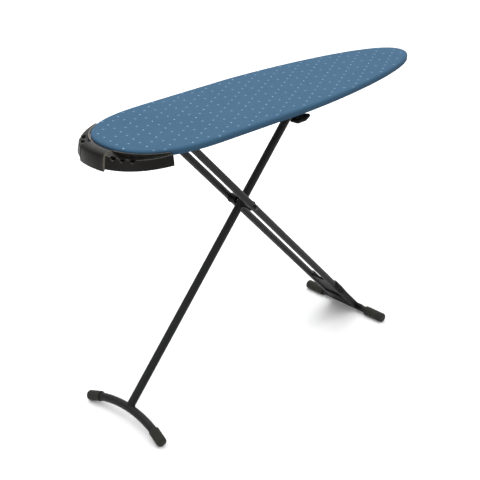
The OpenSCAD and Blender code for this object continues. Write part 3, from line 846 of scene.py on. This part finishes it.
def weld_bead():
    """A rippled bead along the saddle between two equal tubes."""
    up = Vector((math.cos(SINGLE_SLOPE), 0, math.sin(SINGLE_SLOPE)))
    out = Vector((-math.sin(SINGLE_SLOPE), 0, math.cos(SINGLE_SLOPE)))
    side = Vector((0, 1, 0))
    bar_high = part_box("front_foot_bar")[1]
    crown = Vector((bar_high.x - SINGLE_RADIUS, 0, bar_high.z - SINGLE_RADIUS))
    count = 120
    path = []
    for k in range(count):
        turn = 2 * math.pi * k / count
        across = SINGLE_RADIUS * math.cos(turn)
        reach = math.sqrt(max(0.0, (SINGLE_RADIUS + 0.0005) ** 2 - across ** 2))
        path.append(crown + up * (reach + 0.0006) + out * across + side * (SINGLE_RADIUS * math.sin(turn)))
    rings = []
    for k, point in enumerate(path):
        along = (path[(k + 1) % count] - path[k - 1]).normalized()
        away = (point - crown - up * (point - crown).dot(up)).normalized()
        other = along.cross(away).normalized()
        size = 0.0016 + 0.0003 * math.sin(k * math.pi / 2)
        rings.append([point + (away * math.cos(a) + other * math.sin(a)) * size
                      for a in (2 * math.pi * j / 8 for j in range(8))])
    return skin([np.array([tuple(p) for p in ring]) for ring in rings], closed=True)


points, faces = weld_bead()
bead = merged(new_mesh_object("front_weld_bead", points, faces), FINE_WELD)
place(bead, "front_leg", materials["tube_paint"], "tube_paint")

# ---------- pressed and machined pieces: the CAD shape with eased edges ----------
EASED = {  # node: its body, and the width of the rounded edge in metres
    "tail_brace": ("board", 0.0006), "middle_brace": ("board", 0.0006), "nose_brace": ("board", 0.0006),
    "slide_channel": ("board", 0.0005), "hinge_bracket_left": ("board", 0.0004),
    "hinge_bracket_right": ("board", 0.0004), "lever_clips": ("board", 0.0006),
    "pivot_spacer_left": ("rear_legs", 0.0006), "pivot_spacer_right": ("rear_legs", 0.0006),
    "pivot_nut": ("rear_legs", 0.0003), "lever_arm": ("release_lever", 0.0004),
    "lever_comb": ("release_lever", 0.0004),
}
for node, (body, width) in EASED.items():
    slot_name = nodes[node].data.materials[0].name.split(".")[0]
    piece = edged(node + "_eased", node, width)
    place(piece, body, nodes[node].material_slots[0].material, slot_name, node)

# ---------- floor, light and camera ----------
FLOOR_SIZE, FLOOR_TOP = 160, -0.0005
bpy.ops.mesh.primitive_plane_add(size=FLOOR_SIZE, location=(0, 0, FLOOR_TOP))
floor = bpy.context.object
floor.name = "studio_floor"
floor_shader = Shader("studio_floor", 0.9, Specular_IOR_Level=0.1)
floor_shader.colour(floor_shader.mix(floor_shader.noise(0.6),
                                     (0.92, 0.92, 0.92, 1), (0.95, 0.95, 0.95, 1)))
floor.data.materials.append(floor_shader.material)

# A white world that is brighter overhead than at the horizon
world = bpy.data.worlds.new("studio")
bpy.context.scene.world = world
world.use_nodes = True
background = world.node_tree.nodes["Background"]
background.inputs["Color"].default_value = (1, 1, 1, 1)
sky_place = world.node_tree.nodes.new("ShaderNodeTexCoord")
sky_parts = world.node_tree.nodes.new("ShaderNodeSeparateXYZ")
sky_range = world.node_tree.nodes.new("ShaderNodeMapRange")
world.node_tree.links.new(sky_place.outputs["Generated"], sky_parts.inputs[0])
world.node_tree.links.new(sky_parts.outputs["Z"], sky_range.inputs["Value"])
world.node_tree.links.new(sky_range.outputs["Result"], background.inputs["Strength"])
for key, number in (("From Min", 0.0), ("From Max", 1.0), ("To Min", 0.42), ("To Max", 1.55)):
    sky_range.inputs[key].default_value = number


def area_light(name, place_at, aim, size, power):
    """A rectangular light at a point, turned to what it lights."""
    data = bpy.data.lights.new(name, "AREA")
    data.shape = "RECTANGLE"
    data.size, data.size_y = size
    data.energy = power
    light = bpy.data.objects.new(name, data)
    light.location = place_at
    light.rotation_euler = (Vector(aim) - Vector(place_at)).to_track_quat("-Z", "Y").to_euler()
    bpy.context.scene.collection.objects.link(light)


area_light("overhead", (0.1, 0.5, 3.4), (0, 0, 0.6), (3.2, 2.6), 55)
area_light("far_side", (2.4, 2.2, 2.2), (0, 0, 0.5), (2.0, 2.0), 22)
area_light("front_fill", (-2.6, -1.2, 1.4), (0, 0, 0.5), (1.8, 1.8), 6)

# The camera solved from the photograph
CAMERA_DOWN, CAMERA_TURN = 26.512, -44.48
camera_data = bpy.data.cameras.new("camera")
camera_data.sensor_width = 36
camera_data.lens = 79.98
camera = bpy.data.objects.new("camera", camera_data)
camera.location = (-2.1373, -2.0713, 1.8812)
camera.rotation_euler = (math.radians(90 - CAMERA_DOWN), 0, math.radians(CAMERA_TURN))
bpy.context.scene.collection.objects.link(camera)
bpy.context.scene.camera = camera
bpy.context.scene.view_settings.view_transform = "Standard"
